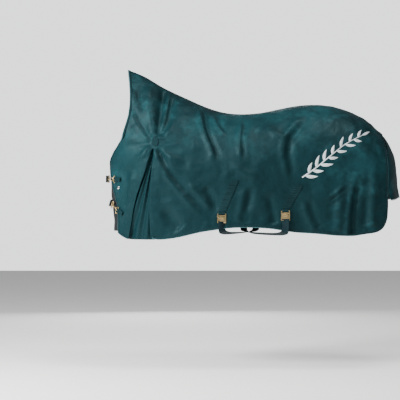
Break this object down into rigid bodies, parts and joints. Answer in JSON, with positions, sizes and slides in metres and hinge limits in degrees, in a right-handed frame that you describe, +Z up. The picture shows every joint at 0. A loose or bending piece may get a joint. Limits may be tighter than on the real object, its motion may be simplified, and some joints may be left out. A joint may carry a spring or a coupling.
{
  "type": "turnout rug",
  "caption": "High-neck turnout rug for a horse, as worn, with chest snap hooks, crossed belly straps and a tail flap that lifts.",
  "frame": {"origin": "underside of the rug on its middle plane at the lowest point of the back, where the horse carries it", "axes": "+X towards the tail, +Y towards the right side of the horse, +Z up"},
  "size_m": [1.8358, 0.6709, 1.0653],
  "materials": {
    "outer_cloth": "satin",
    "lining_cloth": "matte",
    "binding_tape": "matte",
    "reflective_piping": "satin",
    "webbing": "matte",
    "brass": "polished",
    "nickel": "polished"
  },
  "bodies": {
    "rug": {"left_front_panel": "outer_cloth", "right_front_panel": "outer_cloth", "left_side_panel": "outer_cloth", "right_side_panel": "outer_cloth", "left_front_lining": "lining_cloth", "right_front_lining": "lining_cloth", "left_side_lining": "lining_cloth", "right_side_lining": "lining_cloth", "left_shoulder_gusset": "outer_cloth", "right_shoulder_gusset": "outer_cloth", "left_gusset_patch": "outer_cloth", "right_gusset_patch": "outer_cloth", "chest_underlap": "lining_cloth", "back_seam_tape": "binding_tape", "left_neck_binding": "binding_tape", "right_neck_binding": "binding_tape", "left_chest_edge_binding": "binding_tape", "right_chest_edge_binding": "binding_tape", "left_front_hem_binding": "binding_tape", "right_front_hem_binding": "binding_tape", "left_side_hem_binding": "binding_tape", "right_side_hem_binding": "binding_tape", "left_rear_edge_binding": "binding_tape", "right_rear_edge_binding": "binding_tape", "upper_ring_tab": "webbing", "upper_swivel_eye": "brass", "upper_chest_strap": "webbing", "lower_ring_tab": "webbing", "lower_swivel_eye": "brass", "lower_chest_strap": "webbing", "chest_stud": "nickel", "left_front_surcingle_band": "webbing", "right_front_surcingle_band": "webbing", "front_slot_plate": "brass", "front_plate_loop": "webbing", "front_hook_plate": "brass", "front_belly_strap": "webbing", "left_rear_surcingle_band": "webbing", "right_rear_surcingle_band": "webbing", "rear_slot_plate": "brass", "rear_plate_loop": "webbing", "rear_hook_plate": "brass", "rear_belly_strap": "webbing"},
    "tail_flap": {"tail_flap": "outer_cloth", "tail_flap_lining": "lining_cloth", "tail_flap_binding": "reflective_piping"},
    "upper_d_ring": {"upper_d_ring": "brass"},
    "upper_snap_hook": {"upper_snap_hook": "brass"},
    "upper_snap_gate": {"upper_snap_gate": "brass"},
    "upper_strap_keeper": {"upper_strap_keeper": "webbing"},
    "lower_d_ring": {"lower_d_ring": "brass"},
    "lower_snap_hook": {"lower_snap_hook": "brass"},
    "lower_snap_gate": {"lower_snap_gate": "brass"},
    "lower_strap_keeper": {"lower_strap_keeper": "webbing"}
  },
  "joints": [
    {"name": "tail_flap_lift", "type": "hinge", "parent": "rug", "child": "tail_flap", "pos_m": [0.93, 0, -0.15], "axis": [0, -1, 0], "range_deg": [0, 100]},
    {"name": "upper_ring_swing", "type": "hinge", "parent": "rug", "child": "upper_d_ring", "pos_m": [-0.74385, -0.15008, -0.404], "axis": [0.0221, -0.027, 0.9994], "range_deg": [-3, 3]},
    {"name": "upper_hook_swivel", "type": "hinge", "parent": "rug", "child": "upper_snap_hook", "pos_m": [-0.75032, -0.13939, -0.40357], "axis": [-0.5178, 0.8548, 0.0346], "range_deg": [-3, 3]},
    {"name": "upper_gate_press", "type": "hinge", "parent": "upper_snap_hook", "child": "upper_snap_gate", "pos_m": [-0.76541, -0.1031, -0.41043], "axis": [-0.7049, -0.4034, -0.5835], "range_deg": [0, 25], "stiffness_Nm_per_rad": 0.05, "springref_deg": -17.19},
    {"name": "upper_keeper_slide", "type": "slide", "parent": "rug", "child": "upper_strap_keeper", "axis": [-0.5178, 0.8548, 0.0346], "range_m": [-0.004, 0.006]},
    {"name": "lower_ring_swing", "type": "hinge", "parent": "rug", "child": "lower_d_ring", "pos_m": [-0.7267, -0.15711, -0.596], "axis": [0.3028, -0.3588, 0.8829], "range_deg": [-3, 3]},
    {"name": "lower_hook_swivel", "type": "hinge", "parent": "rug", "child": "lower_snap_hook", "pos_m": [-0.73242, -0.14764, -0.59019], "axis": [-0.4576, 0.7579, 0.4649], "range_deg": [-3, 3]},
    {"name": "lower_gate_press", "type": "hinge", "parent": "lower_snap_hook", "child": "lower_snap_gate", "pos_m": [-0.74759, -0.11222, -0.57985], "axis": [-0.8543, -0.2299, -0.4661], "range_deg": [0, 25], "stiffness_Nm_per_rad": 0.05, "springref_deg": -17.19},
    {"name": "lower_keeper_slide", "type": "slide", "parent": "rug", "child": "lower_strap_keeper", "axis": [-0.4576, 0.7579, 0.4649], "range_m": [-0.004, 0.006]}
  ]
}
